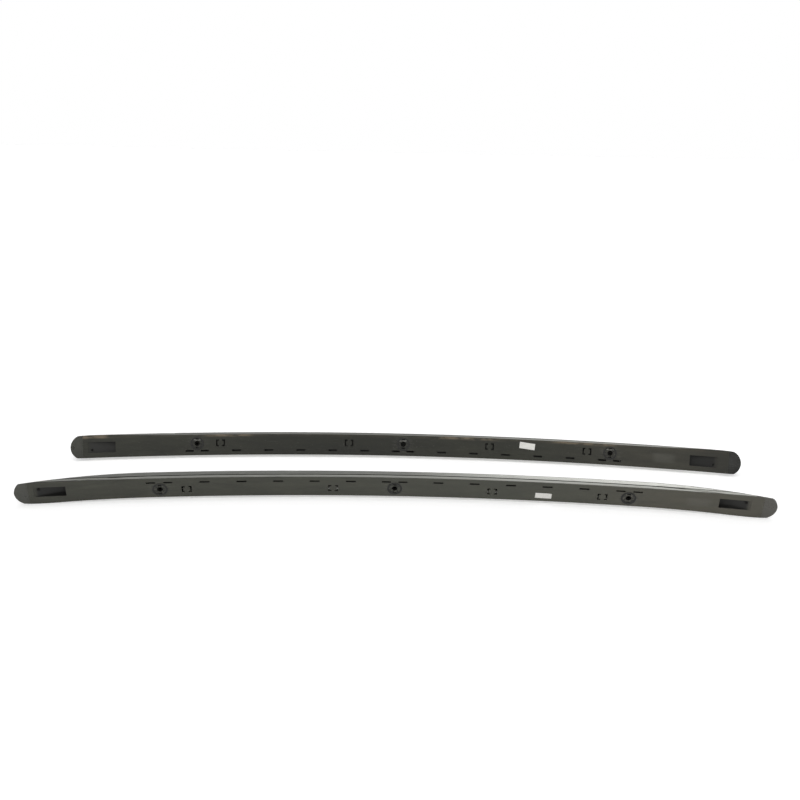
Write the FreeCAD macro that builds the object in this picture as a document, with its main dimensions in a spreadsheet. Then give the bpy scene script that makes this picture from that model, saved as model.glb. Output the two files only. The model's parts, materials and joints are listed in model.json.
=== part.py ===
import FreeCAD, Part
import math
import os
import re
import Sketcher

# A mirrored pair of lengthwise roof rails, lying on their sides as a matched set.
# Each rail is worked out in its own frame first: X forward, Y inboard, Z up off the roof,
# with the middle of the underside at the origin. All sizes are in millimetres.

doc = FreeCAD.newDocument("roof_rails")
sheet = doc.addObject("Spreadsheet::Sheet", "sheet")

SIZES = {
    # overall run of one rail and how far its middle stands off the line between the tips
    "rail_length": 1650,
    "crown_bow": 76.3,
    "plan_bow": 23.9,
    # aluminium section
    "base_width": 51.4,
    "shoulder_height": 30.5,
    "inboard_round": 9,
    "outboard_round": 12,
    "outboard_bulge": 5.5,
    "bulge_height": 17.5,
    "crown_radius": 110,
    "wall": 2.4,
    "groove_height": 10,
    "groove_width": 2.6,
    "groove_depth": 1.4,
    "ledge_height": 7.5,
    "ledge_thickness": 1.5,
    "ledge_reach": 3,
    "flare_shelf": 3.6,
    "foot_depth": 3,
    "foot_in": 1.3,
    # drop of the ends towards the roof
    "taper_length": 285,
    "end_drop_radius": 1500,
    "tip_excess": 8,
    # base moulding
    "base_thickness": 2.6,
    "base_end_gap": 29,
    "fit_gap": 0.15,
    "slot_length": 22,
    "slot_width": 4.4,
    "slot_line": 14.5,
    "slot_pitch": 81,
    "slots_per_bay": 5,
    "window_length": 22,
    "window_width": 17,
    "window_slit": 3.4,
    "window_arm": 7,
    "window_line": 4.8,
    "window_1": 466,
    "window_2": 142,
    "window_3": 215,
    "window_4": 459,
    "pocket_length": 66,
    "pocket_width": 26,
    "pocket_depth": 11,
    "pocket_lip": 0.8,
    "pocket_wall": 1.8,
    "front_pocket_gap": 41,
    "rear_pocket_gap": 55,
    # mounting points
    "mount_pitch": 520,
    "mount_shift": 4,
    "mount_line": 4,
    "mount_hole": 6.5,
    "mount_slot_length": 20,
    "mount_slot_offset": 18.4,
    "drain_length": 8.5,
    "drain_width": 2.6,
    "drain_line": 15,
    "peep_length": 8,
    "peep_width": 3.4,
    "peep_offset": 10.2,
    "tower_round": 11.5,
    "plate_length": 50,
    "plate_reach": 21.6,
    "plate_thickness": 3,
    "bush_round": 8,
    "bush_flange": 11,
    "bush_flange_thickness": 2.5,
    "bush_bore": 3.4,
    "seal_outer": 16.5,
    "seal_inner": 12.8,
    "seal_recess": 0.7,
    "seal_stand": 0.9,
    # end caps
    "cap_length": 46,
    "nose_round": 31,
    "tongue_half": 13,
    "tongue_thickness": 2.4,
    "tongue_clearance": 1.2,
    "tongue_past_screw": 5,
    "screw_inset": 10,
    "screw_line": 6,
    "screw_head": 3,
    "screw_head_height": 1.5,
    "screw_shank": 1.7,
    # how the pair lies
    "pair_spacing": 282,
    "pair_shift": 19.7,
    "pair_turn": 0.8,
}

for row, (name, size) in enumerate(SIZES.items(), start=1):
    sheet.set("A%d" % row, name)
    sheet.set("B%d" % row, str(size))
    sheet.setAlias("B%d" % row, name)
doc.recompute()


CELLS = {name: "sheet." + name for name in SIZES}


def number(expression):
    return float(sheet.evalExpression(expression))


def cells(expression):
    # put the sheet's name before each cell's name
    return re.sub(r"(?<![\w.])[a-z]\w*", lambda word: CELLS.get(word[0], word[0]), expression)


def bind(thing, **sizes):
    for name, expression in sizes.items():
        thing.setExpression(name.replace("__", "."), cells(expression))


def add(kind, name, **sizes):
    thing = doc.addObject(kind, name)
    bind(thing, **sizes)
    return thing


# Values that follow from the sheet, shared by the whole rail.
rail = doc.addObject("App::VarSet", "rail")
DERIVED = {
    "bow": "sqrt(crown_bow ^ 2 + plan_bow ^ 2)",
    "radius": "(rail_length ^ 2 / 4 + rail.bow ^ 2) / (2 * rail.bow)",
    "roll": "atan(plan_bow / crown_bow) / 1 deg",
    "tip_angle": "asin(rail_length / 2 / rail.radius) / 1 deg",
    "degree_length": "rail.radius * pi / 180",
    "tip_arc": "rail.tip_angle * rail.degree_length",
    "bend_across": "sin(rail.roll * 1 deg) / rail.radius",
    "bend_down": "cos(rail.roll * 1 deg) / rail.radius + 1 / end_drop_radius",
    "end_radius": "1 / sqrt(rail.bend_across ^ 2 + rail.bend_down ^ 2)",
    "skin": "base_width / 2",
    "joint_drop": "(taper_length - cap_length) ^ 2 / (2 * end_drop_radius)",
    "plate_seat": "ledge_height + ledge_thickness",
    "slope": "(pocket_depth - pocket_lip) / pocket_length",
}
for name, expression in DERIVED.items():
    rail.addProperty("App::PropertyFloat", name)
    rail.setExpression(name, cells(expression))
    doc.recompute()


# Stations along the underside's arc: the distance is measured forward from the middle.
stations = doc.addObject("App::VarSet", "stations")


def seat_at(thing, name, distance, order=("x", "y", "z")):
    # bind one placement to a station; the order says which axis takes which part
    angle = "((%s) / rail.degree_length) * 1 deg" % distance
    part = {
        "x": "rail.radius * sin(%s)" % angle,
        "y": "rail.radius * sin(rail.roll * 1 deg) * (1 - cos(%s))" % angle,
        "z": "0 - rail.radius * cos(rail.roll * 1 deg) * (1 - cos(%s))" % angle,
    }
    turn = {"x": "0", "y": "cos(rail.roll * 1 deg)", "z": "sin(rail.roll * 1 deg)"}
    for slot, axis in zip(("x", "y", "z"), order):
        thing.setExpression("%s.Base.%s" % (name, slot), cells(part[axis]))
        thing.setExpression("%s.Rotation.Axis.%s" % (name, slot), cells(turn[axis]))
    thing.setExpression("%s.Rotation.Angle" % name, cells(angle))


def station(name, distance):
    stations.addProperty("App::PropertyPlacement", name)
    seat_at(stations, name, distance)


MOUNTS = {
    "front": "mount_shift + mount_pitch",
    "middle": "mount_shift",
    "rear": "mount_shift - mount_pitch",
}
WINDOWS = ("window_1", "window_2", "0 - window_3", "0 - window_4")
ENDS = {"front": "", "rear": "0 - "}

for name, distance in MOUNTS.items():
    station(name + "_mount", distance)
for index, distance in enumerate(WINDOWS, start=1):
    station("window_%d" % index, distance)
BAY_START = "(mount_pitch - (slots_per_bay - 1) * slot_pitch) / 2"
SLOTS = []
for bay, start in (("front", "mount_shift"), ("rear", "mount_shift - mount_pitch")):
    for index in range(int(number("sheet.slots_per_bay"))):
        name = "%s_slot_%d" % (bay, index + 1)
        station(name, "%s + %s + %d * slot_pitch" % (start, BAY_START, index))
        SLOTS.append(name)
for end, sign in ENDS.items():
    gap = end + "_pocket_gap"
    station(end + "_joint", sign + "(rail.tip_arc - cap_length)")
    station(end + "_pocket", sign + "(rail.tip_arc - %s - pocket_length / 2)" % gap)
    station(end + "_screw", sign + "(rail.tip_arc - %s - screw_inset)" % gap)
doc.recompute()


# Sketch helpers: every point takes its place from an expression.
def plane(body, role):
    return [item for item in body.Origin.OriginFeatures if item.Role == role][0]


def new_sketch(body, name, role="YZ_Plane"):
    sketch = body.newObject("Sketcher::SketchObject", name)
    sketch.AttachmentSupport = [(plane(body, role), "")]
    sketch.MapMode = "FlatFace"
    return sketch


def vector(point):
    return FreeCAD.Vector(number(cells(point[0])), number(cells(point[1])), 0)


def pin(sketch, geometry, end, point):
    for kind, axis, expression in (("DistanceX", -2, point[0]), ("DistanceY", -1, point[1])):
        size = number(cells(expression))
        if abs(size) < 1e-9:
            sketch.addConstraint(Sketcher.Constraint("PointOnObject", geometry, end, axis))
            continue
        index = sketch.addConstraint(Sketcher.Constraint(kind, -1, 1, geometry, end, size))
        sketch.setExpression("Constraints[%d]" % index, cells(expression))


def line(sketch, start, end):
    return sketch.addGeometry(Part.LineSegment(vector(start), vector(end)), False)


def chain(sketch, points):
    # straight run through the points, each pinned once
    made = []
    for start, end in zip(points, points[1:]):
        made.append(line(sketch, start, end))
    for before, after in zip(made, made[1:]):
        sketch.addConstraint(Sketcher.Constraint("Coincident", before, 2, after, 1))
    pin(sketch, made[0], 1, points[0])
    for item, point in zip(made, points[1:]):
        pin(sketch, item, 2, point)
    return made


def loop(sketch, points):
    made = chain(sketch, points)
    made.append(line(sketch, points[-1], points[0]))
    sketch.addConstraint(Sketcher.Constraint("Coincident", made[-2], 2, made[-1], 1))
    sketch.addConstraint(Sketcher.Constraint("Coincident", made[-1], 2, made[0], 1))


INBOARD = ("rail.skin - inboard_round", "shoulder_height - inboard_round")
OUTBOARD = ("0 - (rail.skin + outboard_bulge - outboard_round)", "bulge_height")


def crown(sketch, wall_line, foot, inset):
    # shoulder, crown and bulge as three arcs tangent to one another, then the flared wall
    deep = number(cells(inset))
    first = vector(INBOARD)
    second = vector(OUTBOARD)
    small = number("sheet.inboard_round") - deep
    broad = number("sheet.crown_radius") - deep
    large = number("sheet.outboard_round") - deep
    # the crown's centre lies a known distance from the centre of each smaller arc
    apart = second.sub(first)
    span = apart.Length
    along = ((broad - small) ** 2 - (broad - large) ** 2 + span ** 2) / (2 * span)
    below = math.sqrt((broad - small) ** 2 - along ** 2)
    unit = apart / span
    centre = first + unit * along + FreeCAD.Vector(-unit.y, unit.x, 0) * below
    rise = math.atan2(first.y - centre.y, first.x - centre.x)
    fall = math.atan2(second.y - centre.y, second.x - centre.x)
    base = vector(foot)
    lean = math.atan2(base.y - second.y, base.x - second.x) + 2 * math.pi
    finish = lean - math.acos(large / base.sub(second).Length)
    up = FreeCAD.Vector(0, 0, 1)
    arcs = []
    for middle, size, start, end in (
        (first, small, 0, rise),
        (centre, broad, rise, fall),
        (second, large, fall, finish),
    ):
        arc = Part.ArcOfCircle(Part.Circle(middle, up, size), start, end)
        arcs.append(sketch.addGeometry(arc, False))
    shoulder, top, bulge = arcs
    touch = second + FreeCAD.Vector(math.cos(finish), math.sin(finish), 0) * large
    flare = sketch.addGeometry(Part.LineSegment(touch, base), False)
    pin(sketch, shoulder, 3, INBOARD)
    pin(sketch, bulge, 3, OUTBOARD)
    sketch.addConstraint(Sketcher.Constraint("Coincident", wall_line, 2, shoulder, 1))
    for item, size, expression in (
        (top, broad, "crown_radius - %s" % inset),
        (bulge, large, "outboard_round - %s" % inset),
    ):
        index = sketch.addConstraint(Sketcher.Constraint("Radius", item, size))
        sketch.setExpression("Constraints[%d]" % index, cells(expression))
    sketch.addConstraint(Sketcher.Constraint("Tangent", shoulder, 2, top, 1))
    sketch.addConstraint(Sketcher.Constraint("Tangent", top, 2, bulge, 1))
    sketch.addConstraint(Sketcher.Constraint("Tangent", bulge, 2, flare, 1))
    pin(sketch, flare, 2, foot)
    return flare


SHOULDER = "shoulder_height - inboard_round"
FOOT = "0 - foot_depth"
OUTER_FOOT = ("0 - rail.skin + foot_in", FOOT)
INNER = "rail.skin - wall"
TIP = "rail.skin - wall - ledge_reach"
SHELF = "0 - (rail.skin - wall) - flare_shelf"


def close(sketch, first, first_end, second, second_end):
    start = sketch.getPoint(first, first_end)
    end = sketch.getPoint(second, second_end)
    made = sketch.addGeometry(Part.LineSegment(start, end), False)
    sketch.addConstraint(Sketcher.Constraint("Coincident", first, first_end, made, 1))
    sketch.addConstraint(Sketcher.Constraint("Coincident", made, 2, second, second_end))


def envelope_section(sketch):
    # the rail's whole outline, filled
    wall_line = chain(sketch, [("rail.skin", FOOT), ("rail.skin", SHOULDER)])[0]
    flare = crown(sketch, wall_line, OUTER_FOOT, "0")
    close(sketch, flare, 2, wall_line, 1)


def profile_section(sketch):
    # one hollow channel: grooved outer skin, ledged inner skin, two feet
    groove_top = "groove_height + groove_width"
    groove_floor = "rail.skin - groove_depth"
    outer = chain(sketch, [
        ("rail.skin", FOOT),
        ("rail.skin", "groove_height"),
        (groove_floor, "groove_height"),
        (groove_floor, groove_top),
        ("rail.skin", groove_top),
        ("rail.skin", SHOULDER),
    ])
    outer_flare = crown(sketch, outer[-1], OUTER_FOOT, "0")
    inner = chain(sketch, [
        (INNER, FOOT),
        (INNER, "ledge_height"),
        (TIP, "ledge_height"),
        (TIP, "rail.plate_seat"),
        (INNER, "rail.plate_seat"),
        (INNER, SHOULDER),
    ])
    inner_flare = crown(sketch, inner[-1], (SHELF, "rail.plate_seat"), "wall")
    far = chain(sketch, [
        ("0 - (%s)" % TIP, "rail.plate_seat"),
        ("0 - (%s)" % TIP, "ledge_height"),
        ("0 - (%s)" % INNER, "ledge_height"),
        ("0 - (%s)" % INNER, FOOT),
    ])
    close(sketch, inner_flare, 2, far[0], 1)
    close(sketch, far[-1], 2, outer_flare, 2)
    close(sketch, inner[0], 1, outer[0], 1)


def axis_line(body, name, point, heading):
    sketch = new_sketch(body, name)
    away = ("%s + 100 * %s" % (point[0], heading[0]), "%s + 100 * %s" % (point[1], heading[1]))
    chain(sketch, [point, away])
    return sketch


def main_axis(body):
    point = ("rail.radius * sin(rail.roll * 1 deg)", "0 - rail.radius * cos(rail.roll * 1 deg)")
    heading = ("cos(rail.roll * 1 deg)", "sin(rail.roll * 1 deg)")
    return axis_line(body, body.Name + "_axis", point, heading)


TAPER = "rail.tip_arc - taper_length"
YZ_ORDER = ("y", "z", "x")
MILL_STEPS = 8


def end_axis(body):
    point = ("rail.bend_across * rail.end_radius ^ 2", "0 - rail.bend_down * rail.end_radius ^ 2")
    heading = ("rail.bend_down * rail.end_radius", "rail.bend_across * rail.end_radius")
    sketch = axis_line(body, body.Name + "_end_axis", point, heading)
    seat_at(sketch, "AttachmentOffset", TAPER, YZ_ORDER)
    return sketch


def turn(body, kind, name, sketch, axis, angle, both):
    feature = body.newObject(kind, name)
    feature.Profile = sketch
    feature.ReferenceAxis = (axis, ["Edge1"])
    feature.Midplane = both
    bind(feature, Angle=angle)
    doc.recompute()
    return feature


def mirrored(body, name, feature):
    copy = body.newObject("PartDesign::Mirrored", name)
    copy.Originals = [feature]
    copy.MirrorPlane = (plane(body, "YZ_Plane"), [""])
    body.Tip = copy
    doc.recompute()
    return copy


def middle_run(body, section):
    # the section carried along the middle arc
    axis = main_axis(body)
    sketch = new_sketch(body, body.Name + "_section")
    section(sketch)
    span = "2 * (%s) / rail.degree_length" % TAPER
    turn(body, "PartDesign::Revolution", body.Name + "_middle", sketch, axis, span, True)


def front_run(body, section):
    # the section carried on along the tighter bend of the front end, past the tip
    bend = end_axis(body)
    sketch = new_sketch(body, body.Name + "_end_section")
    seat_at(sketch, "AttachmentOffset", TAPER, YZ_ORDER)
    section(sketch)
    swing = "(taper_length + tip_excess) / rail.end_radius * 180 / pi"
    front = turn(body, "PartDesign::Revolution", body.Name + "_front", sketch, bend, swing, False)
    if body.Shape.BoundBox.XMax < number("rail.tip_arc - sheet.cap_length"):
        front.Reversed = True
        doc.recompute()
    return front


def band(name, low, high, reach, half_width):
    # a curved strip that follows the underside, between two heights
    body = doc.addObject("PartDesign::Body", name)
    axis = main_axis(body)
    sketch = new_sketch(body, name + "_section")
    side = "0 - (%s)" % half_width
    loop(sketch, [(half_width, low), (half_width, high), (side, high), (side, low)])
    span = "2 * (%s) / rail.degree_length" % reach
    turn(body, "PartDesign::Revolution", name + "_strip", sketch, axis, span, True)
    return body


def box(name, x, y, z, long, wide, high):
    return add("Part::Box", name, Placement__Base__x=x, Placement__Base__y=y, Placement__Base__z=z,
               Length=long, Width=wide, Height=high)


def centred(name, x, y, z, long, wide, high):
    return box(name, "%s - (%s) / 2" % (x, long), "%s - (%s) / 2" % (y, wide), z, long, wide, high)


def rod(name, x, y, z, radius, high):
    return add("Part::Cylinder", name, Placement__Base__x=x, Placement__Base__y=y,
               Placement__Base__z=z, Radius=radius, Height=high)


def at(name, items, place):
    group = doc.addObject("Part::Compound", name)
    group.Links = items
    group.setExpression("Placement", "stations." + place)
    return group


def fuse(name, items):
    made = doc.addObject("Part::MultiFuse", name)
    made.Shapes = items
    return made


def common(name, items):
    made = doc.addObject("Part::MultiCommon", name)
    made.Shapes = items
    return made


def cut(name, base, tool):
    made = doc.addObject("Part::Cut", name)
    made.Base = base
    made.Tool = tool
    return made


envelope = doc.addObject("PartDesign::Body", "envelope")
middle_run(envelope, envelope_section)
mirrored(envelope, "envelope_rear", front_run(envelope, envelope_section))

# Aluminium profile: one bent section, its underside milled to the roof's arc, its ends cut square.
centre = doc.addObject("PartDesign::Body", "centre")
middle_run(centre, profile_section)
mill = band("mill", "0 - base_width", "base_thickness", "rail.tip_arc", "2 * base_width")
drop = doc.addObject("PartDesign::Body", "drop")
front_run(drop, profile_section)
cutters = []
for index in range(MILL_STEPS + 1):
    name = "mill_%d" % (index + 1)
    station(name, "%s + %d * taper_length / %d" % (TAPER, index, MILL_STEPS))
    cutters.append(at(name + "_seat", [
        centred(name + "_box", "0", "0", "base_thickness + fit_gap - 2 * base_width",
                "1.2 * taper_length / %d" % MILL_STEPS, "4 * base_width", "2 * base_width"),
    ], name))
saw = box("front_saw", "0", "0 - 2 * base_width", "0 - 2 * base_width",
          "taper_length", "4 * base_width", "4 * base_width")
cutters.append(at("front_saw_cut", [saw], "front_joint"))
front_drop = cut("front_drop", drop, fuse("front_milling", cutters))
rear_drop = doc.addObject("Part::Mirroring", "rear_drop")
rear_drop.Source = front_drop
rear_drop.Normal = FreeCAD.Vector(1, 0, 0)
profile = fuse("profile", [cut("centre_milled", centre, mill), front_drop, rear_drop])

# Base moulding: a strip as wide as the rail, with bosses inside and openings through it.
strip = band("strip", "0", "base_thickness", "rail.tip_arc - base_end_gap", "base_width")
plate = common("plate", [envelope, strip])
raised = [plate]
removed = []
screw_ways = []
for end, heading in (("front", 90), ("rear", -90)):
    for name, grow, items in (("tub", "pocket_wall", raised), ("pocket", "0", removed)):
        half = "pocket_width / 2 + %s" % grow
        wedge = add("Part::Wedge", "%s_%s_wedge" % (end, name),
                    Xmin="0 - (%s)" % half, X2min="0 - (%s)" % half,
                    Xmax=half, X2max=half,
                    Ymin="0 - pocket_length / 2 - %s" % grow, Ymax="pocket_length / 2 + %s" % grow,
                    Zmax="pocket_lip + %s" % grow, Z2max="pocket_depth + %s" % grow)
        low = "base_thickness / 2" if name == "tub" else "0 - base_thickness"
        bind(wedge, Zmin=low, Z2min=low)
        wedge.Placement = FreeCAD.Placement(
            FreeCAD.Vector(), FreeCAD.Rotation(FreeCAD.Vector(0, 0, 1), heading))
        items.append(at("%s_%s" % (end, name), [wedge], end + "_pocket"))
    pilot = rod(end + "_pilot", "0", "screw_line", "0 - base_thickness", "screw_shank + fit_gap",
                "6 * base_thickness")
    spot = rod(end + "_spot", "0", "screw_line", "0 - base_thickness", "screw_head + 3 * fit_gap",
               "base_thickness + pocket_lip + rail.slope * (screw_inset + screw_head)")
    screw_ways.append(at(end + "_screw_way", [fuse(end + "_screw_hole", [pilot, spot])], end + "_screw"))

LINE = "0 - mount_line"
for place in MOUNTS:
    tower = rod(place + "_tower", "0", LINE, "base_thickness / 2", "tower_round",
                "rail.plate_seat - base_thickness / 2")
    raised.append(at(place + "_tower_seat", [tower], place + "_mount"))
    hole = rod(place + "_hole", "0", LINE, "0 - base_thickness", "mount_hole", "3 * base_thickness")
    well = rod(place + "_well", "0", LINE, "base_thickness", "bush_round + fit_gap", "rail.plate_seat")
    ring = cut(
        place + "_seal_way",
        rod(place + "_seal_way_rim", "0", LINE, "0 - base_thickness", "seal_outer + fit_gap",
            "base_thickness + seal_recess"),
        rod(place + "_seal_way_core", "0", LINE, "0 - 2 * base_thickness", "seal_inner - fit_gap",
            "4 * base_thickness"))
    peep = centred(place + "_peep", "0", "%s + peep_offset" % LINE, "0 - base_thickness",
                   "peep_length", "peep_width", "3 * base_thickness")
    drain = centred(place + "_drain", "0", "0 - drain_line", "0 - base_thickness",
                    "drain_length", "drain_width", "3 * base_thickness")
    sides = []
    for side, sign in (("fore", ""), ("aft", "0 - ")):
        sides.append(centred("%s_%s_slot" % (place, side), sign + "mount_slot_offset", "slot_line",
                             "0 - base_thickness", "mount_slot_length", "slot_width",
                             "3 * base_thickness"))
    removed.append(at(place + "_openings", [hole, well, ring, peep, drain] + sides, place + "_mount"))

for name in SLOTS:
    slot = centred(name + "_box", "0", "slot_line", "0 - base_thickness",
                   "slot_length", "slot_width", "3 * base_thickness")
    removed.append(at(name, [slot], name))

for index in range(1, len(WINDOWS) + 1):
    name = "window_%d" % index
    slits = []
    for side, sign in (("fore", ""), ("aft", "0 - ")):
        slits.append(centred("%s_%s" % (name, side), sign + "(window_length - window_slit) / 2",
                             "0 - window_line", "0 - base_thickness",
                             "window_slit", "window_width", "3 * base_thickness"))
        for edge, lean in (("inner", "+"), ("outer", "-")):
            slits.append(centred("%s_%s_%s" % (name, side, edge),
                                 sign + "(window_length - window_arm) / 2",
                                 "0 - window_line %s (window_width - window_slit) / 2" % lean,
                                 "0 - base_thickness", "window_arm", "window_slit",
                                 "3 * base_thickness"))
    removed.append(at(name + "_cut", [fuse(name + "_slits", slits)], name))

base_open = cut("base_open", fuse("base_raised", raised), fuse("base_removed", removed))
base = cut("base", base_open, fuse("base_screw_ways", screw_ways))

# End caps: the envelope's last stretch with a rounded nose, and a tongue under the profile.
TONGUE_TOP = "(shoulder_height - wall - rail.joint_drop - tongue_clearance)"
caps = {}
for end, side in (("front", ""), ("rear", "0 - ")):
    far = "cap_length + 2 * base_thickness"
    start = "0" if end == "front" else "0 - (%s)" % far
    block = box(end + "_block", start, "0 - base_width", "0", far, "2 * base_width", "2 * base_width")
    nose = rod(end + "_nose_round", side + "(cap_length - nose_round)", "0 - outboard_bulge / 4",
               "0", "nose_round", "2 * base_width")
    wide = box(end + "_nose_back", "0 - 2 * cap_length" if end == "front" else "0 - cap_length + nose_round",
               "0 - base_width", "0", "3 * cap_length - nose_round", "2 * base_width", "2 * base_width")
    rounding = at(end + "_rounding", [fuse(end + "_nose_plan", [nose, wide])], end + "_joint")
    nose_solid = common(end + "_nose", [envelope, at(end + "_cap_zone", [block], end + "_joint"), rounding])
    reach = "%s_pocket_gap + screw_inset + tongue_past_screw - cap_length" % end
    root = "2 * base_thickness"
    tongue_start = "0 - (%s)" % reach if end == "front" else "0 - (%s)" % root
    tongue = box(end + "_tongue", tongue_start, "0 - tongue_half", "%s - tongue_thickness" % TONGUE_TOP,
                 "%s + %s" % (reach, root), "2 * tongue_half", "tongue_thickness")
    step_long = "2 * (cap_length - base_end_gap + fit_gap)"
    step = centred(end + "_step", "0", "0", "0 - base_thickness", step_long, "4 * base_width",
                   "2 * base_thickness + fit_gap")
    steps = [step]
    if end == "front":
        steps.append(centred(end + "_relief", "0", "0", "0 - base_thickness",
                             "2 * (cap_length - front_pocket_gap + pocket_wall + 4 * fit_gap)",
                             "pocket_width + 2 * pocket_wall + 4 * fit_gap",
                             "2 * base_thickness + pocket_wall"))
    pilot = rod(end + "_cap_pilot", "0", "screw_line", "0", "screw_shank + fit_gap", "6 * base_thickness")
    joined = fuse(end + "_cap_joined", [nose_solid, at(end + "_tongue_seat", [tongue], end + "_joint")])
    tools = fuse(end + "_cap_removed", [
        at(end + "_step_seat", [fuse(end + "_steps", steps) if len(steps) > 1 else step], end + "_joint"),
        at(end + "_pilot_seat", [pilot], end + "_screw"),
    ])
    caps[end] = cut(end + "_cap", joined, tools)

# Mounting hardware, each piece in the frame of its own station.
SEAT = "rail.plate_seat"
pieces = {
    "rail_profile": (profile, None),
    "base_moulding": (base, None),
    "front_end_cap": (caps["front"], None),
    "rear_end_cap": (caps["rear"], None),
}
for place in MOUNTS:
    blank = box(place + "_plate_blank", "0 - plate_length / 2", "0 - plate_reach", SEAT,
                "plate_length", "2 * plate_reach", "plate_thickness")
    hole = rod(place + "_plate_hole", "0", LINE, "0", "bush_round + fit_gap", "3 * %s" % SEAT)
    pieces[place + "_mount_plate"] = (cut(place + "_plate", blank, hole), place + "_mount")

    stem = rod(place + "_bush_stem", "0", LINE, "base_thickness", "bush_round",
               "%s + plate_thickness + bush_flange_thickness - base_thickness" % SEAT)
    flange = rod(place + "_bush_flange", "0", LINE, "%s + plate_thickness" % SEAT, "bush_flange",
                 "bush_flange_thickness")
    bore = rod(place + "_bush_bore", "0", LINE, "0", "bush_bore", "4 * %s" % SEAT)
    bush = cut(place + "_bush", fuse(place + "_bush_solid", [stem, flange]), bore)
    pieces[place + "_threaded_bush"] = (bush, place + "_mount")

    rim = rod(place + "_seal_rim", "0", LINE, "0 - seal_stand", "seal_outer", "seal_stand + seal_recess")
    core = rod(place + "_seal_core", "0", LINE, "0 - 2 * seal_stand", "seal_inner", "4 * seal_stand")
    pieces[place + "_seal_ring"] = (cut(place + "_seal", rim, core), place + "_mount")

SPOT = "(pocket_lip + rail.slope * (screw_inset + screw_head))"
for end in ENDS:
    head = rod(end + "_screw_head", "0", "screw_line", SPOT + " - screw_head_height", "screw_head",
               "screw_head_height")
    shank = rod(end + "_screw_shank", "0", "screw_line", SPOT, "screw_shank",
                "%s - %s" % (TONGUE_TOP, SPOT))
    pieces[end + "_cap_screw"] = (fuse(end + "_screw", [head, shank]), end + "_screw")

# The pair as it lies: the right rail on its outboard side, the left one its mirror image.
layout = doc.addObject("App::VarSet", "layout")
for name in ("right", "left"):
    layout.addProperty("App::PropertyPlacement", name)
    for axis in ("x", "y", "z"):
        layout.addProperty("App::PropertyFloat", "%s_%s" % (name, axis))
        layout.setExpression("%s.Base.%s" % (name, axis), "layout.%s_%s" % (name, axis))
HALF = "(45 + rail.roll / 2) * 1 deg"
for field, expression in (("Axis.x", "0"), ("Axis.y", "cos(%s)" % HALF), ("Axis.z", "sin(%s)" % HALF),
                          ("Angle", "180 deg")):
    layout.setExpression("right.Rotation." + field, expression)
for field, expression in (("Axis.x", "0"), ("Axis.y", "0"), ("Axis.z", "1"),
                          ("Angle", "(0 - pair_turn) * 1 deg")):
    layout.setExpression("left.Rotation." + field, cells(expression))

nodes = {"right": {}, "left": {}}
for name, (item, place) in pieces.items():
    item.Label = "right_" + name
    item.setExpression("Placement", "layout.right" + (" * stations." + place if place else ""))
    nodes["right"][name] = item
    copy = doc.addObject("Part::Mirroring", "left_" + name)
    copy.Label = "left_" + name
    copy.Source = item
    copy.Normal = FreeCAD.Vector(0, 0, 1)
    copy.setExpression("Placement", "layout.left")
    nodes["left"][name] = copy
doc.recompute()


def bounds(side):
    whole = FreeCAD.BoundBox()
    for name in ("rail_profile", "base_moulding", "front_end_cap", "rear_end_cap"):
        whole.add(nodes[side][name].Shape.optimalBoundingBox(False, False))
    return whole


def shift(side, x, y, z):
    for axis, step in (("x", x), ("y", y), ("z", z)):
        name = "%s_%s" % (side, axis)
        setattr(layout, name, getattr(layout, name) + step)
    doc.recompute()


# Set both rails down on the floor, then bring the middle of the pair to the origin.
right = bounds("right")
shift("right", 0, 0, -right.ZMin)
left = bounds("left")
shift("left", number("sheet.pair_shift"), number("sheet.pair_spacing"), -left.ZMin)
pair = bounds("right")
pair.add(bounds("left"))
shift("right", -pair.Center.x, -pair.Center.y, 0)
pair = bounds("right")
pair.add(bounds("left"))
shift("left", -2 * pair.Center.x, -2 * pair.Center.y, 0)

for item in doc.Objects:
    if "Invalid" in item.State or "Error" in item.State:
        raise RuntimeError("%s did not build: %s" % (item.Label, item.State))
os.makedirs("parts", exist_ok=True)
for side in nodes.values():
    for item in side.values():
        shape = item.Shape
        if shape.isNull() or not shape.isValid() or len(shape.Solids) != 1:
            raise RuntimeError("%s has a bad shape" % item.Label)
        shape.exportStep("parts/%s.step" % item.Label)
        print(item.Label, round(shape.Volume), shape.optimalBoundingBox(False, False))
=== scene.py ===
import json
import math

import bmesh
import bpy
import numpy as np
from mathutils import Matrix, Vector
from mathutils.bvhtree import BVHTree


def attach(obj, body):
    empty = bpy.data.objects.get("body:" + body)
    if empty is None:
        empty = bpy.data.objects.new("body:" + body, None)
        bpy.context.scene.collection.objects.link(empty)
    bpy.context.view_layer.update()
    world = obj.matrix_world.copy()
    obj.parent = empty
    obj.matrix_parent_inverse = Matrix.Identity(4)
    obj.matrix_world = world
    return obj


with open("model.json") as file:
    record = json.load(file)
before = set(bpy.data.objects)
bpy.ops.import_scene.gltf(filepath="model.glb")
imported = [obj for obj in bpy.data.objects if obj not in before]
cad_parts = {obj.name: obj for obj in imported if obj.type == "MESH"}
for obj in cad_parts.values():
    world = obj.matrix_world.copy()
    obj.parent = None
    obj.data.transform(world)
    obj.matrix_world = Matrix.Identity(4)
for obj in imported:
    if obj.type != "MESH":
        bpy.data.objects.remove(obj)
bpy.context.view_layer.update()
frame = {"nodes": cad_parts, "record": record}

NODES = frame["nodes"]
MOUNTS = {m["name"]: Vector(m["pos_m"]) for m in frame["record"]["mounts"]}
AXES = {m["name"]: Vector(m["axis"]) for m in frame["record"]["mounts"]}
SIDES = ("right", "left")
PLACES = ("front", "middle", "rear")

# The profile's section, in metres: how far behind the underside the shadow groove's two edges
# lie, the half width of the hollow, and the crown's radius and the hollow's depth under it.
GROOVE_FLOOR, GROOVE_TOP = -0.0127, -0.0099
HALF_HOLLOW = 0.0222
CROWN_RADIUS = 0.110
CROWN_DEPTH = 0.0319
BLUR = 0.0007
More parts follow.
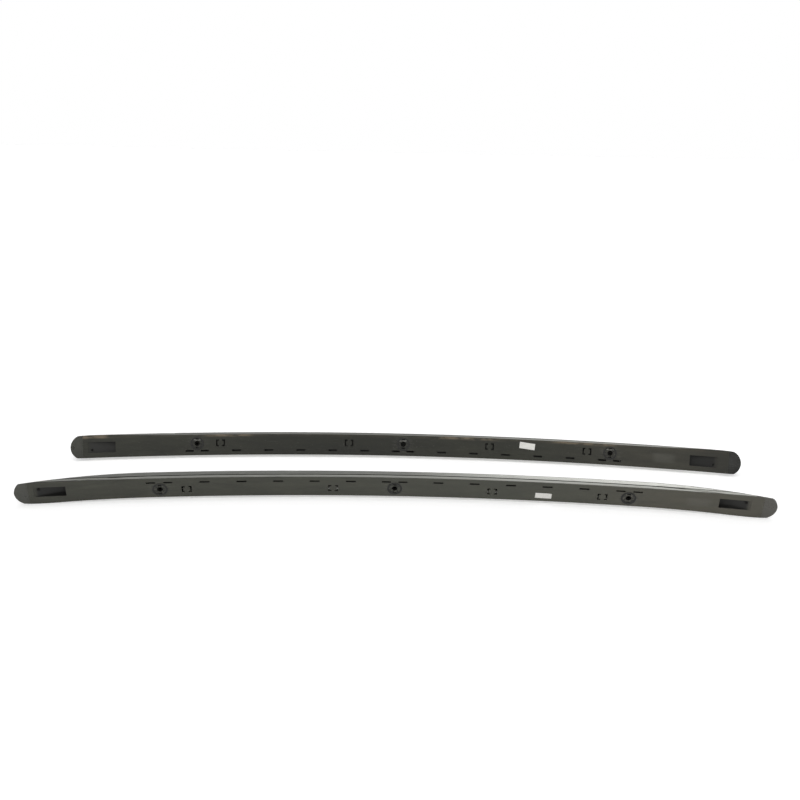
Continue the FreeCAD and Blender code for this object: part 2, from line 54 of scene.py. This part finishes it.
# Dried soil: the middle and half length of each stretch along X.
SOIL_STRETCHES = ((-0.765, 0.035), (-0.435, 0.055), (0.170, 0.085), (0.462, 0.078))
RUBBED_PLACE = 0.655
# Blank labels: place along X, place up across the rail, length, height and turn in radians.
LABELS = {"right": (0.320, -0.0100, 0.0365, 0.0142, -0.01),
          "left": (0.320, 0.0105, 0.0385, 0.0160, -0.11)}
# The studio.
FLOOR_HALF, FLOOR_DROP, FLOOR_TONE, FLOOR_GLOW = 60.0, 0.0005, 0.90, 0.34
SKY = ((0.0, 1.0), (0.16, 1.0), (0.24, 0.24), (0.75, 0.13), (1.0, 0.40))
CAMERA_PLACE = (-0.0116, -2.0038, 0.7779)
CAMERA_PITCH, CAMERA_ROLL, CAMERA_YAW = 16.077, 1.171, -0.194
CAMERA_LENS, CAMERA_SENSOR = 40.5, 36.0

# How the line of a rail is read off its moulding: the reach along X, the number of stations,
# the places across the underside, a depth within the moulding's wall, and a start well clear.
LINE_REACH, LINE_STATIONS = 0.78, 53
LINE_ACROSS = (-0.018, -0.009, 0.0, 0.009, 0.018)
LINE_DEPTH, LINE_CLEAR = 0.0012, 0.06


def rail_line(side):
    """The way out of a rail's underside, the way up across it, and along X the bow of its
    underside (square, slope, level, fourth and sixth power) and of its middle line."""
    bolts = [side + "_" + place + "_roof_bolt" for place in PLACES]
    axis = AXES[side + "_middle_roof_bolt"]
    out = Vector((0.0, axis.y, axis.z)).normalized()
    up = out.cross(Vector((1.0, 0.0, 0.0)))
    tree = BVHTree.FromObject(NODES[side + "_base_moulding"], bpy.context.evaluated_depsgraph_get())
    holes = np.polyfit([MOUNTS[b].x for b in bolts], [MOUNTS[b].dot(up) for b in bolts], 2)

    def meets(start, way):
        spot = tree.ray_cast(start, way)[0]
        return [] if spot is None else [spot]

    line = []
    for x in np.linspace(-LINE_REACH, LINE_REACH, LINE_STATIONS):
        foot = Vector((x, 0.0, 0.0)) + up * float(np.polyval(holes, x))
        faces = [spot for across in LINE_ACROSS for spot in meets(foot + up * across + out, -out)]
        level = max((spot.dot(out) for spot in faces), default=0.0)
        inner = foot + out * (level - LINE_DEPTH)
        edges = [spot for way in (up, -up) for spot in meets(inner + way * LINE_CLEAR, -way)]
        if faces and len(edges) == 2:
            line.append((x, level, sum(spot.dot(up) for spot in edges) / 2.0))
    places, levels, middles = np.array(line).T
    powers = np.stack([places**2, places, places**0, places**4, places**6], axis=1)
    bow = np.linalg.lstsq(powers, levels, rcond=None)[0]
    rise = np.polyfit(places, middles, 2)
    return {"out": tuple(out), "up": tuple(up), "bow": tuple(float(c) for c in bow),
            "rise": (*(float(c) for c in rise), 0.0, 0.0)}


RAILS = {side: rail_line(side) for side in SIDES}


class Look:
    """One procedural material, built node by node."""

    def __init__(self, name):
        self.material = bpy.data.materials.new(name)
        self.material.use_nodes = True
        self.tree = self.material.node_tree
        self.tree.nodes.clear()
        self.output = self.tree.nodes.new("ShaderNodeOutputMaterial")
        self.shader = self.tree.nodes.new("ShaderNodeBsdfPrincipled")
        self.join(self.shader.outputs[0], self.output.inputs["Surface"])
        self.spot = self.tree.nodes.new("ShaderNodeTexCoord").outputs["Object"]

    def join(self, source, socket):
        self.tree.links.new(source, socket)

    def put(self, socket, value):
        if hasattr(value, "is_output"):
            self.join(value, socket)
        else:
            socket.default_value = value

    def set(self, **values):
        for name, value in values.items():
            self.put(self.shader.inputs[name.replace("_", " ")], value)

    def math(self, kind, first, second=0.0, third=0.0, clamp=False):
        node = self.tree.nodes.new("ShaderNodeMath")
        node.operation = kind
        node.use_clamp = clamp
        for socket, value in zip(node.inputs, (first, second, third)):
            self.put(socket, value)
        return node.outputs[0]

    def dot(self, vector, along):
        node = self.tree.nodes.new("ShaderNodeVectorMath")
        node.operation = "DOT_PRODUCT"
        self.put(node.inputs[0], vector)
        self.put(node.inputs[1], along)
        return node.outputs["Value"]

    def vector(self, x, y, z):
        node = self.tree.nodes.new("ShaderNodeCombineXYZ")
        for socket, value in zip(node.inputs, (x, y, z)):
            self.put(socket, value)
        return node.outputs[0]

    def stretch(self, vector, scale):
        node = self.tree.nodes.new("ShaderNodeVectorMath")
        node.operation = "MULTIPLY"
        self.put(node.inputs[0], vector)
        self.put(node.inputs[1], scale)
        return node.outputs[0]

    def far(self, point):
        node = self.tree.nodes.new("ShaderNodeVectorMath")
        node.operation = "DISTANCE"
        self.put(node.inputs[0], self.spot)
        self.put(node.inputs[1], point)
        return node.outputs["Value"]

    def noise(self, vector, scale, detail=3.0, rough=0.55, warp=0.0):
        node = self.tree.nodes.new("ShaderNodeTexNoise")
        self.put(node.inputs["Vector"], vector)
        node.inputs["Scale"].default_value = scale
        node.inputs["Detail"].default_value = detail
        node.inputs["Roughness"].default_value = rough
        node.inputs["Distortion"].default_value = warp
        return node.outputs["Fac"]

    def span(self, value, low, high, start=0.0, end=1.0):
        node = self.tree.nodes.new("ShaderNodeMapRange")
        node.interpolation_type = "SMOOTHSTEP"
        self.put(node.inputs["Value"], value)
        for name, bound in (("From Min", low), ("From Max", high), ("To Min", start), ("To Max", end)):
            self.put(node.inputs[name], bound)
        return node.outputs["Result"]

    def ramp(self, value, *stops):
        node = self.tree.nodes.new("ShaderNodeValToRGB")
        ramp = node.color_ramp
        while len(ramp.elements) < len(stops):
            ramp.elements.new(0.5)
        for element, (place, colour) in zip(ramp.elements, stops):
            element.position = place
            element.color = (*colour, 1.0)
        self.put(node.inputs["Fac"], value)
        return node.outputs["Color"]

    def over(self, share, below, above):
        node = self.tree.nodes.new("ShaderNodeMix")
        node.data_type = "RGBA"
        self.put(node.inputs["Factor"], share)
        self.put(node.inputs[6], below if hasattr(below, "is_output") else (*below, 1.0))
        self.put(node.inputs[7], above if hasattr(above, "is_output") else (*above, 1.0))
        return node.outputs[2]

    def bump(self, height, strength, depth, before=None):
        node = self.tree.nodes.new("ShaderNodeBump")
        node.inputs["Strength"].default_value = strength
        node.inputs["Distance"].default_value = depth
        self.put(node.inputs["Height"], height)
        if before is not None:
            self.put(node.inputs["Normal"], before)
        return node.outputs["Normal"]

    def facing(self, way):
        node = self.tree.nodes.new("ShaderNodeNewGeometry")
        return self.dot(node.outputs["Normal"], way)

    def soil(self, x, run):
        """Dried brown soil in a few stretches along a lip."""
        lump = 0.0
        for middle, half in SOIL_STRETCHES:
            beside = self.math("ABSOLUTE", self.math("SUBTRACT", x, middle))
            lump = self.math("MAXIMUM", self.span(beside, 0.6 * half, 1.25 * half, 1.0, 0.12), lump)
        grit = self.span(self.noise(self.stretch(run, (28.0, 150.0, 150.0)), 1.0, 5.0, 0.68), 0.36, 0.58)
        return self.math("MULTIPLY", lump, grit)

    def along(self, side):
        """Coordinates that follow a rail's bow: along it, up across it, and out of its underside."""
        rail = RAILS[side]
        x = self.dot(self.spot, (1.0, 0.0, 0.0))
        square = self.math("MULTIPLY", x, x)

        def straight(way, curve):
            level = self.math("MULTIPLY_ADD", square, curve[4], curve[3])
            level = self.math("MULTIPLY_ADD", level, square, curve[0])
            level = self.math("MULTIPLY_ADD", level, square, curve[2])
            level = self.math("MULTIPLY_ADD", x, curve[1], level)
            return self.math("SUBTRACT", self.dot(self.spot, way), level)

        return x, straight(rail["up"], rail["rise"]), straight(rail["out"], rail["bow"])


def aluminium(side):
    """Satin anodised profile: drawn lengthwise grain, faint blotches, a duller lower flank, painted shade
    in the hollow.
    """
    look = Look(side + "_aluminium")
    x, up, out = look.along(side)
    run = look.vector(x, up, out)
    grain = look.noise(look.stretch(run, (6.0, 900.0, 900.0)), 1.0, 4.0, 0.6)
    cloud = look.noise(look.spot, 22.0, 4.0, 0.6)
    stain = look.span(look.noise(look.stretch(run, (30.0, 120.0, 120.0)), 1.0, 5.0, 0.65), 0.56, 0.74)
    metal = look.ramp(grain, (0.25, (0.515, 0.52, 0.485)), (0.75, (0.64, 0.645, 0.605)))
    metal = look.over(look.span(cloud, 0.4, 0.7, 0.0, 0.35), metal, (0.54, 0.545, 0.51))
    metal = look.over(look.math("MULTIPLY", stain, 0.35), metal, (0.33, 0.315, 0.285))
    flank = look.span(out, -0.0125, -0.0105)
    metal = look.over(look.math("MULTIPLY", flank, 0.45), metal, (0.38, 0.385, 0.355))
    # Painted shade: the groove between the two bands is darkened in the colour.
    groove = look.math("MULTIPLY", look.span(out, GROOVE_FLOOR - 0.0002, GROOVE_FLOOR + 0.0002),
                       look.span(out, GROOVE_TOP - 0.0002, GROOVE_TOP + 0.0002, 1.0, 0.0))
    metal = look.over(look.math("MULTIPLY", groove, 0.9), metal, (0.085, 0.082, 0.074))
    aside = look.math("ABSOLUTE", up)
    edge = look.math("MULTIPLY", look.span(out, -0.0062, -0.0022), look.span(aside, 0.0235, 0.0250))
    soil = look.soil(x, run)
    share = look.math("MULTIPLY", look.math("MULTIPLY", edge, soil), 0.8 if side == "left" else 0.2)
    metal = look.over(share, metal, (0.27, 0.215, 0.145))
    if side == "right":
        # Painted shade: a dark line along the lower edge, where the strip meets the moulding, towards the
        # end at negative X.
        gap_shade = look.math("MULTIPLY", edge, look.span(x, -0.70, -0.60, 0.9, 0.0))
        metal = look.over(gap_shade, metal, (0.03, 0.03, 0.028))
    crown = look.math("MULTIPLY", look.math("MULTIPLY", up, up), 0.5 / CROWN_RADIUS)
    depth = look.math("SUBTRACT", crown, out)
    outward = look.math("MULTIPLY", look.facing(RAILS[side]["up"]), up)
    below = look.math("MULTIPLY", look.facing(RAILS[side]["out"]), look.math("ADD", out, 0.015))
    cavity = look.span(look.math("ADD", outward, below), -0.0015, 0.0, 1.0, 0.0)
    cavity = look.math("MAXIMUM", cavity, look.span(out, -0.0200, -0.0195))
    # Painted shade: the hollow's inner faces, seen through the openings, are darkened in the colour.
    inside = look.math("MULTIPLY", look.span(aside, HALF_HOLLOW, HALF_HOLLOW + BLUR, 1.0, 0.0),
                       look.span(depth, CROWN_DEPTH, CROWN_DEPTH + BLUR, 1.0, 0.0))
    inside = look.math("MULTIPLY", inside, cavity)
    middle = look.span(look.math("ABSOLUTE", x), 0.530, 0.540, 1.0, 0.0)
    shade = 0.007 if side == "right" else 0.040
    metal = look.over(look.math("MULTIPLY", inside, middle), metal, (shade, shade, 0.93 * shade))
    rough = look.math("ADD", look.span(grain, 0.2, 0.8, 0.25, 0.36), look.math("MULTIPLY", stain, 0.2))
    rough = look.math("MULTIPLY_ADD", flank, 0.17, rough)
    rough = look.math("MULTIPLY_ADD", share, 0.4, rough, clamp=True)
    look.set(Base_Color=metal, Roughness=rough, Metallic=1.0)
    look.set(Normal=look.bump(grain, 0.08, 0.0002))
    return look.material


def moulding(side, pale):
    """Grained black plastic, greyed by dust, with lengthwise scuffs and painted shade in its recesses."""
    look = Look(side + "_moulding")
    x, up, out = look.along(side)
    run = look.vector(x, up, out)
    pebble = look.noise(look.spot, 1500.0, 2.0, 0.5)
    cloud = look.noise(look.stretch(run, (9.0, 45.0, 45.0)), 1.0, 5.0, 0.62, 0.4)
    fleck = look.span(look.noise(look.spot, 330.0, 3.0, 0.6), 0.62, 0.74)
    scuff = look.span(look.noise(look.stretch(run, (26.0, 620.0, 620.0)), 1.0, 4.0, 0.6), 0.62, 0.76)
    colour = look.ramp(cloud, (0.32, tuple(0.74 * c for c in pale)), (0.68, tuple(1.26 * c for c in pale)))
    if side == "right":
        colour = look.over(look.span(x, -0.60, 0.35, 0.0, 0.30), colour, (0.100, 0.103, 0.084))
    else:
        beside = look.math("ABSOLUTE", look.math("ADD", x, 0.17))
        colour = look.over(look.span(beside, 0.05, 0.33, 0.45, 0.0), colour, (0.012, 0.0122, 0.010))
    far_end = look.span(x, 0.30, 0.62, 0.0, 0.62 if side == "right" else 0.25)
    colour = look.over(look.math("MULTIPLY", far_end, cloud), colour, (0.108, 0.094, 0.074))
    colour = look.over(look.math("MULTIPLY", scuff, 0.22), colour, (0.17, 0.168, 0.155))
    colour = look.over(look.math("MULTIPLY", fleck, 0.18), colour, (0.19, 0.185, 0.165))
    rough = look.math("ADD", look.span(cloud, 0.3, 0.7, 0.48, 0.62), look.math("MULTIPLY", fleck, 0.15))
    patch = look.span(look.noise(look.stretch(run, (70.0, 260.0, 260.0)), 1.0, 5.0, 0.7), 0.44, 0.60)
    # A rubbed patch ahead of the rear pocket.
    beside = look.math("ABSOLUTE", look.math("SUBTRACT", x, RUBBED_PLACE))
    rubbed = look.math("MULTIPLY", look.span(beside, 0.014, 0.034, 1.0, 0.0),
                       look.span(look.math("ABSOLUTE", up), 0.006, 0.015, 1.0, 0.0))
    share = look.math("MULTIPLY", look.math("MULTIPLY", rubbed, cloud), 0.30)
    colour = look.over(share, colour, (0.17, 0.168, 0.150))
    for place in PLACES:
        mount = MOUNTS[side + "_" + place + "_roof_bolt"]
        near = look.span(look.far(mount), 0.014, 0.036, 1.0, 0.0)
        share = look.math("MULTIPLY", look.math("MULTIPLY", near, patch), 0.10)
        colour = look.over(share, colour, (0.24, 0.235, 0.215))
        close = look.span(look.far(mount), 0.009, 0.024, 1.0, 0.0)
        smear = look.noise(look.stretch(run, (170.0, 210.0, 210.0)), 1.0, 3.0, 0.6, 0.5)
        smear = look.span(smear, 0.46, 0.58)
        share = look.math("MULTIPLY", look.math("MULTIPLY", close, smear), 0.85)
        colour = look.over(share, colour, (0.010, 0.010, 0.009))
        if side == "left":
            # A chalky bar above each mounting hole.
            level = look.math("ABSOLUTE", look.math("SUBTRACT", up, 0.0128))
            beside = look.math("ABSOLUTE", look.math("SUBTRACT", x, mount.x))
            bar = look.math("MULTIPLY", look.span(level, 0.0010, 0.0026, 1.0, 0.0),
                            look.span(beside, 0.009, 0.016, 1.0, 0.0))
            streak = look.noise(look.stretch(run, (150.0, 320.0, 320.0)), 1.0, 4.0, 0.7)
            streak = look.span(streak, 0.38, 0.56)
            share = look.math("MULTIPLY", look.math("MULTIPLY", bar, streak), 0.62)
            colour = look.over(share, colour, (0.26, 0.26, 0.235))
    if side == "left":
        lip = look.span(up, 0.0175, 0.0245)
        share = look.math("MULTIPLY", look.math("MULTIPLY", lip, look.soil(x, run)), 0.85)
        colour = look.over(share, colour, (0.185, 0.150, 0.108))
        rough = look.math("MULTIPLY_ADD", share, 0.3, rough, clamp=True)
    top = look.span(look.facing((0.0, 0.0, 1.0)), 0.35, 0.95, 0.0, 0.30)
    colour = look.over(look.math("MULTIPLY", top, cloud), colour, (0.22, 0.215, 0.195))
    # Painted shade: recesses behind the underside are darkened in the colour, on the left rail less so
    # towards negative X.
    recess_shade = (0.0065, 0.0065, 0.006)
    if side == "left":
        colour = look.over(look.span(x, 0.68, 0.80, 0.0, 0.45), colour, (0.011, 0.0112, 0.0095))
        recess_shade = look.over(look.span(x, 0.30, 0.60), (0.024, 0.024, 0.022), (0.009, 0.009, 0.008))
    colour = look.over(look.span(out, -0.0026, -0.0009, 0.94, 0.0), colour, recess_shade)
    look.set(Base_Color=colour, Roughness=rough)
    look.shader.inputs["Specular IOR Level"].default_value = 0.30
    look.set(Normal=look.bump(pebble, 0.25, 0.0003, look.bump(scuff, 0.12, 0.0002)))
    return look.material


def cap(side, pale):
    """Smoother black end pieces, polished by handling, with hairline scratches."""
    look = Look(side + "_cap")
    x, up, out = look.along(side)
    run = look.vector(x, up, out)
    cloud = look.noise(look.spot, 40.0, 4.0, 0.6)
    hair = look.span(look.noise(look.stretch(run, (45.0, 1400.0, 900.0)), 1.0, 3.0, 0.6), 0.62, 0.76)
    dust = look.span(look.noise(look.spot, 420.0, 3.0, 0.6), 0.62, 0.75)
    colour = look.ramp(cloud, (0.3, tuple(0.75 * c for c in pale)), (0.7, tuple(1.25 * c for c in pale)))
    rear = look.span(x, -0.2, 0.2, 0.0, 0.8)
    colour = look.over(rear, colour, (0.070, 0.067, 0.056) if side == "right" else (0.007, 0.0072, 0.006))
    colour = look.over(look.math("MULTIPLY", hair, 0.20), colour, (0.15, 0.148, 0.136))
    colour = look.over(look.math("MULTIPLY", dust, 0.18), colour, (0.18, 0.175, 0.155))
    rough = look.math("ADD", look.span(cloud, 0.3, 0.7, 0.26, 0.36), look.math("MULTIPLY", hair, 0.25))
    if side == "left":
        rough = look.math("MULTIPLY_ADD", rear, -0.14, rough)
    look.set(Base_Color=colour, Roughness=rough)
    look.set(Normal=look.bump(look.noise(look.spot, 900.0, 2.0), 0.06, 0.0002))
    return look.material


def rubber():
    """Matt seal rubber, chalky in patches."""
    look = Look("seal_rubber")
    cloud = look.noise(look.spot, 130.0, 4.0, 0.65)
    colour = look.ramp(cloud, (0.35, (0.010, 0.010, 0.009)), (0.7, (0.032, 0.032, 0.029)))
    look.set(Base_Color=colour, Roughness=look.span(cloud, 0.3, 0.7, 0.72, 0.9))
    look.set(Normal=look.bump(look.noise(look.spot, 1300.0, 2.0), 0.2, 0.0003))
    return look.material


def steel(name, dark, light, rough):
    """Plated steel with a mottled finish."""
    look = Look(name)
    cloud = look.noise(look.spot, 190.0, 4.0, 0.65)
    fine = look.noise(look.spot, 1700.0, 2.0)
    look.set(Base_Color=look.ramp(cloud, (0.3, dark), (0.7, light)), Metallic=1.0)
    look.set(Roughness=look.span(cloud, 0.3, 0.7, rough - 0.07, rough + 0.10))
    look.set(Normal=look.bump(fine, 0.12, 0.0002))
    return look.material


def paper():
    """Blank label paper, slightly yellowed, rubbed grey in places."""
    look = Look("label_paper")
    fibre = look.noise(look.spot, 900.0, 4.0, 0.65)
    rub = look.span(look.noise(look.spot, 160.0, 5.0, 0.7), 0.48, 0.72)
    colour = look.ramp(fibre, (0.3, (0.70, 0.69, 0.65)), (0.7, (0.80, 0.79, 0.75)))
    colour = look.over(look.math("MULTIPLY", rub, 0.45), colour, (0.45, 0.44, 0.41))
    look.set(Base_Color=colour, Roughness=look.span(fibre, 0.3, 0.7, 0.62, 0.8))
    look.set(Normal=look.bump(fibre, 0.15, 0.0002))
    return look.material


LOOKS = {"right_moulding": moulding("right", (0.047, 0.0475, 0.037)),
         "left_moulding": moulding("left", (0.027, 0.0275, 0.0205)),
         "rubber": rubber(),
         "bush": steel("bush_steel", (0.007, 0.007, 0.0065), (0.018, 0.0175, 0.016), 0.60),
         "plated": steel("plated_steel", (0.009, 0.009, 0.0085), (0.022, 0.0215, 0.020), 0.50),
         "paper": paper()}
for side in SIDES:
    LOOKS[side + "_aluminium"] = aluminium(side)
    pale = (0.040, 0.0405, 0.0315) if side == "right" else (0.028, 0.0285, 0.0205)
    LOOKS[side + "_cap"] = cap(side, pale)


def finish_of(name):
    side = name.split("_")[0]
    for ending, look in (("rail_profile", side + "_aluminium"), ("base_moulding", side + "_moulding"),
                         ("end_cap", side + "_cap"), ("seal_ring", "rubber"),
                         ("threaded_bush", "bush"), ("mount_plate", "plated"), ("cap_screw", "plated")):
        if name.endswith(ending):
            return LOOKS[look]
    return LOOKS["plated"]


# Edge radii left by the moulds, the die and the press, in metres.
EDGES = {"base_moulding": 0.0005, "end_cap": 0.0014, "rail_profile": 0.0003, "mount_plate": 0.0005,
         "threaded_bush": 0.0004, "seal_ring": 0.0003, "cap_screw": 0.0003}
for name, piece in NODES.items():
    piece.data.materials.clear()
    piece.data.materials.append(finish_of(name))
    for ending, radius in EDGES.items():
        if name.endswith(ending):
            weld = piece.modifiers.new("joined", "WELD")
            weld.merge_threshold = 0.000002
            bevel = piece.modifiers.new("edge", "BEVEL")
            bevel.width = radius
            bevel.segments = 2
            bevel.limit_method = "ANGLE"
            bevel.angle_limit = math.radians(35)
            bevel.use_clamp_overlap = True
            shade = piece.modifiers.new("shade", "WEIGHTED_NORMAL")
            shade.mode = "FACE_AREA"
            shade.weight = 70


def label(side, x, up, length, height, turn):
    """A blank paper label laid on the underside, following its bow."""
    rail = RAILS[side]
    carrier = NODES[side + "_base_moulding"]
    tree = BVHTree.FromObject(carrier, bpy.context.evaluated_depsgraph_get())
    out, across = Vector(rail["out"]), Vector(rail["up"])

    def level(curve, place):
        square = place * place
        return ((curve[4] * square + curve[3]) * square + curve[0]) * square + curve[1] * place + curve[2]

    mesh = bmesh.new()
    columns, rows = 24, 10
    thickness, gap, curl = 0.00018, 0.00006, 0.0007
    flat = []
    for i in range(columns + 1):
        line = []
        for j in range(rows + 1):
            s = (i / columns - 0.5) * length
            t = (j / rows - 0.5) * height
            place = x + s * math.cos(turn) - t * math.sin(turn)
            rise = up + s * math.sin(turn) + t * math.cos(turn)
            start = (Vector((place, 0, 0)) + across * (level(rail["rise"], place) + rise)
                     + out * (level(rail["bow"], place) + 0.05))
            line.append(tree.ray_cast(start, -out, 0.12)[0])
        flat.append(line)
    # The paper bridges the openings under it: points over one are lifted level with the rest.
    heights = [[p.dot(out) - level(rail["bow"], p.x) for p in line] for line in flat]
    top = sorted(h for line in heights for h in line)[int(0.7 * (columns + 1) * (rows + 1))]
    verts = []
    for i in range(columns + 1):
        line = []
        for j in range(rows + 1):
            lift = max(0.0, top - heights[i][j]) if heights[i][j] < top - 0.0008 else 0.0
            corner = (i / columns) ** 6 * (j / rows) ** 4
            p = flat[i][j] + out * (lift + gap + thickness + curl * corner)
            line.append(mesh.verts.new(p))
        verts.append(line)
    for i in range(columns):
        for j in range(rows):
            mesh.faces.new((verts[i][j], verts[i + 1][j], verts[i + 1][j + 1], verts[i][j + 1]))
    bmesh.ops.recalc_face_normals(mesh, faces=mesh.faces)
    data = bpy.data.meshes.new(side + "_label")
    mesh.to_mesh(data)
    mesh.free()
    piece = bpy.data.objects.new(side + "_label", data)
    bpy.context.scene.collection.objects.link(piece)
    if sum((Vector(p.normal).dot(out) for p in data.polygons)) < 0:
        data.flip_normals()
    solid = piece.modifiers.new("thickness", "SOLIDIFY")
    solid.thickness = thickness
    solid.offset = -1.0
    for face in data.polygons:
        face.use_smooth = True
    data.materials.append(LOOKS["paper"])
    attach(piece, "root")


for side, placing in LABELS.items():
    label(side, *placing)

# The floor, the surrounding light and the camera.
bpy.context.scene.view_settings.view_transform = "Standard"


def floor():
    mesh = bpy.data.meshes.new("floor")
    half = FLOOR_HALF
    corners = [(-half, -half, 0), (half, -half, 0), (half, half, 0), (-half, half, 0)]
    mesh.from_pydata(corners, [], [(0, 1, 2, 3)])
    piece = bpy.data.objects.new("floor", mesh)
    piece.location.z = -FLOOR_DROP
    bpy.context.scene.collection.objects.link(piece)
    material = bpy.data.materials.new("floor")
    material.use_nodes = True
    tree = material.node_tree
    tree.nodes.clear()
    output = tree.nodes.new("ShaderNodeOutputMaterial")
    matt = tree.nodes.new("ShaderNodeBsdfDiffuse")
    matt.inputs["Color"].default_value = (FLOOR_TONE, FLOOR_TONE, FLOOR_TONE, 1.0)
    glow = tree.nodes.new("ShaderNodeEmission")
    glow.inputs["Color"].default_value = (1.0, 1.0, 1.0, 1.0)
    path = tree.nodes.new("ShaderNodeLightPath")
    seen = tree.nodes.new("ShaderNodeMath")
    seen.operation = "ADD"
    tree.links.new(path.outputs["Is Camera Ray"], seen.inputs[0])
    tree.links.new(path.outputs["Is Glossy Ray"], seen.inputs[1])
    also = tree.nodes.new("ShaderNodeMath")
    also.operation = "ADD"
    also.use_clamp = True
    tree.links.new(seen.outputs[0], also.inputs[0])
    tree.links.new(path.outputs["Is Transmission Ray"], also.inputs[1])
    level = tree.nodes.new("ShaderNodeMath")
    level.operation = "MULTIPLY"
    level.inputs[1].default_value = FLOOR_GLOW
    tree.links.new(also.outputs[0], level.inputs[0])
    tree.links.new(level.outputs[0], glow.inputs["Strength"])
    both = tree.nodes.new("ShaderNodeAddShader")
    tree.links.new(matt.outputs[0], both.inputs[0])
    tree.links.new(glow.outputs[0], both.inputs[1])
    tree.links.new(both.outputs[0], output.inputs["Surface"])
    mesh.materials.append(material)


def surroundings():
    """A pale room: white low down all round, darker above, paler again overhead."""
    world = bpy.data.worlds.new("studio")
    bpy.context.scene.world = world
    world.use_nodes = True
    tree = world.node_tree
    tree.nodes.clear()
    output = tree.nodes.new("ShaderNodeOutputWorld")
    light = tree.nodes.new("ShaderNodeBackground")
    spot = tree.nodes.new("ShaderNodeTexCoord")
    parts = tree.nodes.new("ShaderNodeSeparateXYZ")
    tree.links.new(spot.outputs["Generated"], parts.inputs[0])
    ramp = tree.nodes.new("ShaderNodeValToRGB")
    while len(ramp.color_ramp.elements) < len(SKY):
        ramp.color_ramp.elements.new(0.5)
    for element, (place, level) in zip(ramp.color_ramp.elements, SKY):
        element.position = place
        element.color = (level, level, level, 1.0)
    tree.links.new(parts.outputs["Z"], ramp.inputs["Fac"])
    tree.links.new(ramp.outputs["Color"], light.inputs["Color"])
    tree.links.new(light.outputs[0], output.inputs["Surface"])


def sun(name, way, strength, spread):
    data = bpy.data.lights.new(name, "SUN")
    data.energy = strength
    data.angle = math.radians(spread)
    lamp = bpy.data.objects.new(name, data)
    lamp.rotation_mode = "QUATERNION"
    lamp.rotation_quaternion = Vector(way).to_track_quat("-Z", "Y")
    bpy.context.scene.collection.objects.link(lamp)


def softbox(name, place, aim, size, power):
    data = bpy.data.lights.new(name, "AREA")
    data.shape = "RECTANGLE"
    data.size, data.size_y = size
    data.energy = power
    lamp = bpy.data.objects.new(name, data)
    lamp.location = place
    lamp.rotation_mode = "QUATERNION"
    lamp.rotation_quaternion = (Vector(aim) - Vector(place)).to_track_quat("-Z", "Y")
    bpy.context.scene.collection.objects.link(lamp)


def camera():
    data = bpy.data.cameras.new("camera")
    data.lens, data.sensor_width = CAMERA_LENS, CAMERA_SENSOR
    data.clip_end = 300.0
    pitch, roll, yaw = (math.radians(a) for a in (CAMERA_PITCH, CAMERA_ROLL, CAMERA_YAW))
    flat = math.cos(pitch)
    ahead = Vector((-math.sin(yaw) * flat, math.cos(yaw) * flat, -math.sin(pitch)))
    level = Vector((math.cos(yaw), math.sin(yaw), 0.0))
    upright = level.cross(ahead)
    right = math.cos(roll) * level + math.sin(roll) * upright
    top = math.cos(roll) * upright - math.sin(roll) * level
    turn = Matrix((right, top, -ahead)).transposed().to_4x4()
    lens = bpy.data.objects.new("camera", data)
    bpy.context.scene.collection.objects.link(lens)
    lens.matrix_world = Matrix.Translation(CAMERA_PLACE) @ turn
    bpy.context.scene.camera = lens


floor()
surroundings()
sun("key", (0.15, 0.60, -1.0), 1.85, 80)
sun("fill", (-0.2, 1.0, -0.55), 0.15, 60)
softbox("right_box", (1.35, 1.8, 2.25), (0.35, -0.1, 0.05), (2.0, 1.2), 12.0)
camera()
